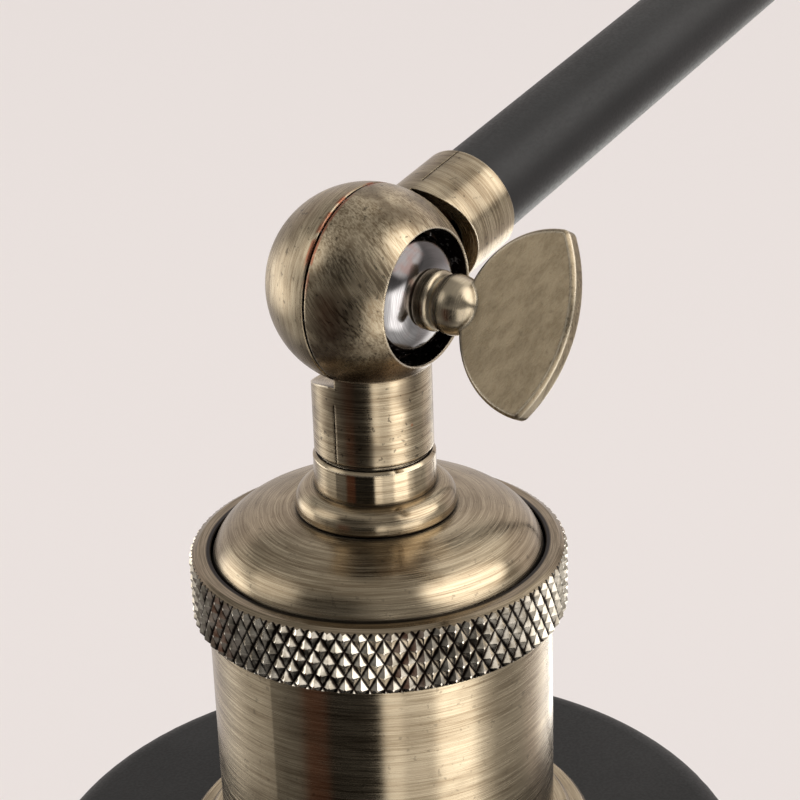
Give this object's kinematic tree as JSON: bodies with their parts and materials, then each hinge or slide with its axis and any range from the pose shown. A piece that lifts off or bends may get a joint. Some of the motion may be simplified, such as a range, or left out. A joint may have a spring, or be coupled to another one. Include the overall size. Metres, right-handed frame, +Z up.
{
  "type": "swing arm desk lamp",
  "caption": "Desk lamp with a round weighted base, two tube arms on ball knuckles with wing screws, and a bronze socket with a black metal shade.",
  "frame": {"origin": "centre of the base's underside", "axes": "+Z up; both arms lie in the XZ plane and the head reaches towards +X; wing screws on the +Y side"},
  "size_m": [0.4147, 0.18, 0.4015],
  "materials": {
    "aged_bronze_cast": "brushed, aged, dark in the crevices",
    "aged_bronze_wing": "diagonally brushed, aged",
    "aged_bronze_spun": "spun brushing, aged",
    "aged_bronze_polished": "polished, aged",
    "aged_bronze_knurled": "knurled, aged",
    "brushed_bronze_shell": "brushed round the axis",
    "dark_steel": "polished dark nickel",
    "black_satin_tube": "satin powder coat",
    "black_matte_shade": "matte powder coat, pale inside",
    "black_base": "satin powder coat",
    "zinc_steel": "zinc plated",
    "bearing_bronze": "turned",
    "cast_iron": "as cast",
    "rubber_pad": "matte",
    "fibre": "vulcanised fibre",
    "black_plastic": "moulded",
    "porcelain": "glazed",
    "bright_brass": "pressed",
    "bulb_aluminium": "rolled",
    "bulb_glass": "frosted",
    "filament": "drawn wire and glass stem",
    "wire_insulation": "extruded"
  },
  "bodies": {
    "base": {"base_cover": "black_base", "base_weight": "cast_iron", "base_pad": "rubber_pad", "base_hub_dome": "aged_bronze_spun", "base_bush": "bearing_bronze", "base_flange": "aged_bronze_spun", "base_stop_pin": "zinc_steel", "cord_gland": "aged_bronze_spun", "gland_nut": "zinc_steel", "switch_body": "black_plastic", "switch_bezel": "aged_bronze_spun", "base_lead": "wire_insulation"},
    "stem": {"shoulder_front_half": "aged_bronze_cast", "base_spacer_ring": "aged_bronze_polished", "base_nipple": "zinc_steel", "base_spring_washer": "zinc_steel", "base_stop_washer": "zinc_steel", "base_lock_nut": "zinc_steel", "base_stem_lead": "wire_insulation"},
    "lower_arm": {"shoulder_back_half": "aged_bronze_cast", "shoulder_friction_washer": "fibre", "shoulder_nut": "zinc_steel", "lower_tube": "black_satin_tube", "elbow_front_half": "aged_bronze_cast", "lower_lead": "wire_insulation"},
    "upper_arm": {"elbow_back_half": "aged_bronze_cast", "elbow_friction_washer": "fibre", "elbow_nut": "zinc_steel", "upper_tube": "black_satin_tube", "head_back_half": "aged_bronze_cast", "head_friction_washer": "fibre", "head_nut": "zinc_steel", "upper_lead": "wire_insulation"},
    "head": {"head_front_half": "aged_bronze_cast", "head_spacer_ring": "aged_bronze_polished", "head_nipple": "zinc_steel", "head_flange": "aged_bronze_spun", "socket_dome": "aged_bronze_spun", "socket_lock_nut": "zinc_steel", "knurled_ring": "aged_bronze_knurled", "socket_shell": "brushed_bronze_shell", "socket_ceramic": "porcelain", "socket_terminal_screws": "bright_brass", "socket_thread_sleeve": "bright_brass", "socket_contact": "bright_brass", "shade_ring_upper": "aged_bronze_spun", "shade": "black_matte_shade", "shade_ring_lower": "aged_bronze_spun", "bulb_cap": "bulb_aluminium", "bulb_glass": "bulb_glass", "bulb_filament": "filament", "head_lead": "wire_insulation"},
    "knob": {"switch_knob": "aged_bronze_knurled"},
    "shoulder_clamp_washer": {"shoulder_washer": "dark_steel"},
    "shoulder_clamp_screw": {"shoulder_wing_screw": "aged_bronze_wing"},
    "elbow_clamp_washer": {"elbow_washer": "dark_steel"},
    "elbow_clamp_screw": {"elbow_wing_screw": "aged_bronze_wing"},
    "head_clamp_washer": {"head_washer": "dark_steel"},
    "head_clamp_screw": {"head_wing_screw": "aged_bronze_wing"}
  },
  "joints": [
    {"name": "base_swivel", "type": "hinge", "parent": "base", "child": "stem", "pos_m": [0, 0, 0.0308], "axis": [0, 0, 1], "range_deg": [-164, 164]},
    {"name": "shoulder_tilt", "type": "hinge", "parent": "stem", "child": "lower_arm", "pos_m": [0, 0, 0.0608], "axis": [0, 1, 0], "range_deg": [-40, 25]},
    {"name": "elbow_tilt", "type": "hinge", "parent": "lower_arm", "child": "upper_arm", "pos_m": [-0.02302, 0, 0.39], "axis": [0, -1, 0], "range_deg": [-5, 100]},
    {"name": "head_tilt", "type": "hinge", "parent": "upper_arm", "child": "head", "pos_m": [0.24065, 0, 0.33188], "axis": [0, -1, 0], "range_deg": [-30, 110]},
    {"name": "switch_turn", "type": "hinge", "parent": "base", "child": "knob", "pos_m": [0.057, 0, 0.02078], "axis": [0.1365, 0, 0.9906], "range_deg": [0, 90]},
    {"name": "shoulder_clamp_slide", "type": "slide", "parent": "lower_arm", "child": "shoulder_clamp_washer", "axis": [0, 1, 0], "range_m": [0, 0.001]},
    {"name": "shoulder_clamp_turn", "type": "hinge", "parent": "shoulder_clamp_washer", "child": "shoulder_clamp_screw", "pos_m": [0, 0.012, 0.0608], "axis": [0, 1, 0], "range_deg": [0, 360]},
    {"name": "elbow_clamp_slide", "type": "slide", "parent": "upper_arm", "child": "elbow_clamp_washer", "axis": [0, 1, 0], "range_m": [0, 0.001]},
    {"name": "elbow_clamp_turn", "type": "hinge", "parent": "elbow_clamp_washer", "child": "elbow_clamp_screw", "pos_m": [-0.02302, 0.012, 0.39], "axis": [0, 1, 0], "range_deg": [0, 360]},
    {"name": "head_clamp_slide", "type": "slide", "parent": "upper_arm", "child": "head_clamp_washer", "axis": [0, 1, 0], "range_m": [0, 0.001]},
    {"name": "head_clamp_turn", "type": "hinge", "parent": "head_clamp_washer", "child": "head_clamp_screw", "pos_m": [0.24065, 0.012, 0.33188], "axis": [0, 1, 0], "range_deg": [0, 360]}
  ],
  "couplings": [
    {"joint": "shoulder_clamp_slide", "follows": "shoulder_clamp_turn", "m_per_rad": 0.00015915},
    {"joint": "elbow_clamp_slide", "follows": "elbow_clamp_turn", "m_per_rad": 0.00015915},
    {"joint": "head_clamp_slide", "follows": "head_clamp_turn", "m_per_rad": 0.00015915}
  ]
}
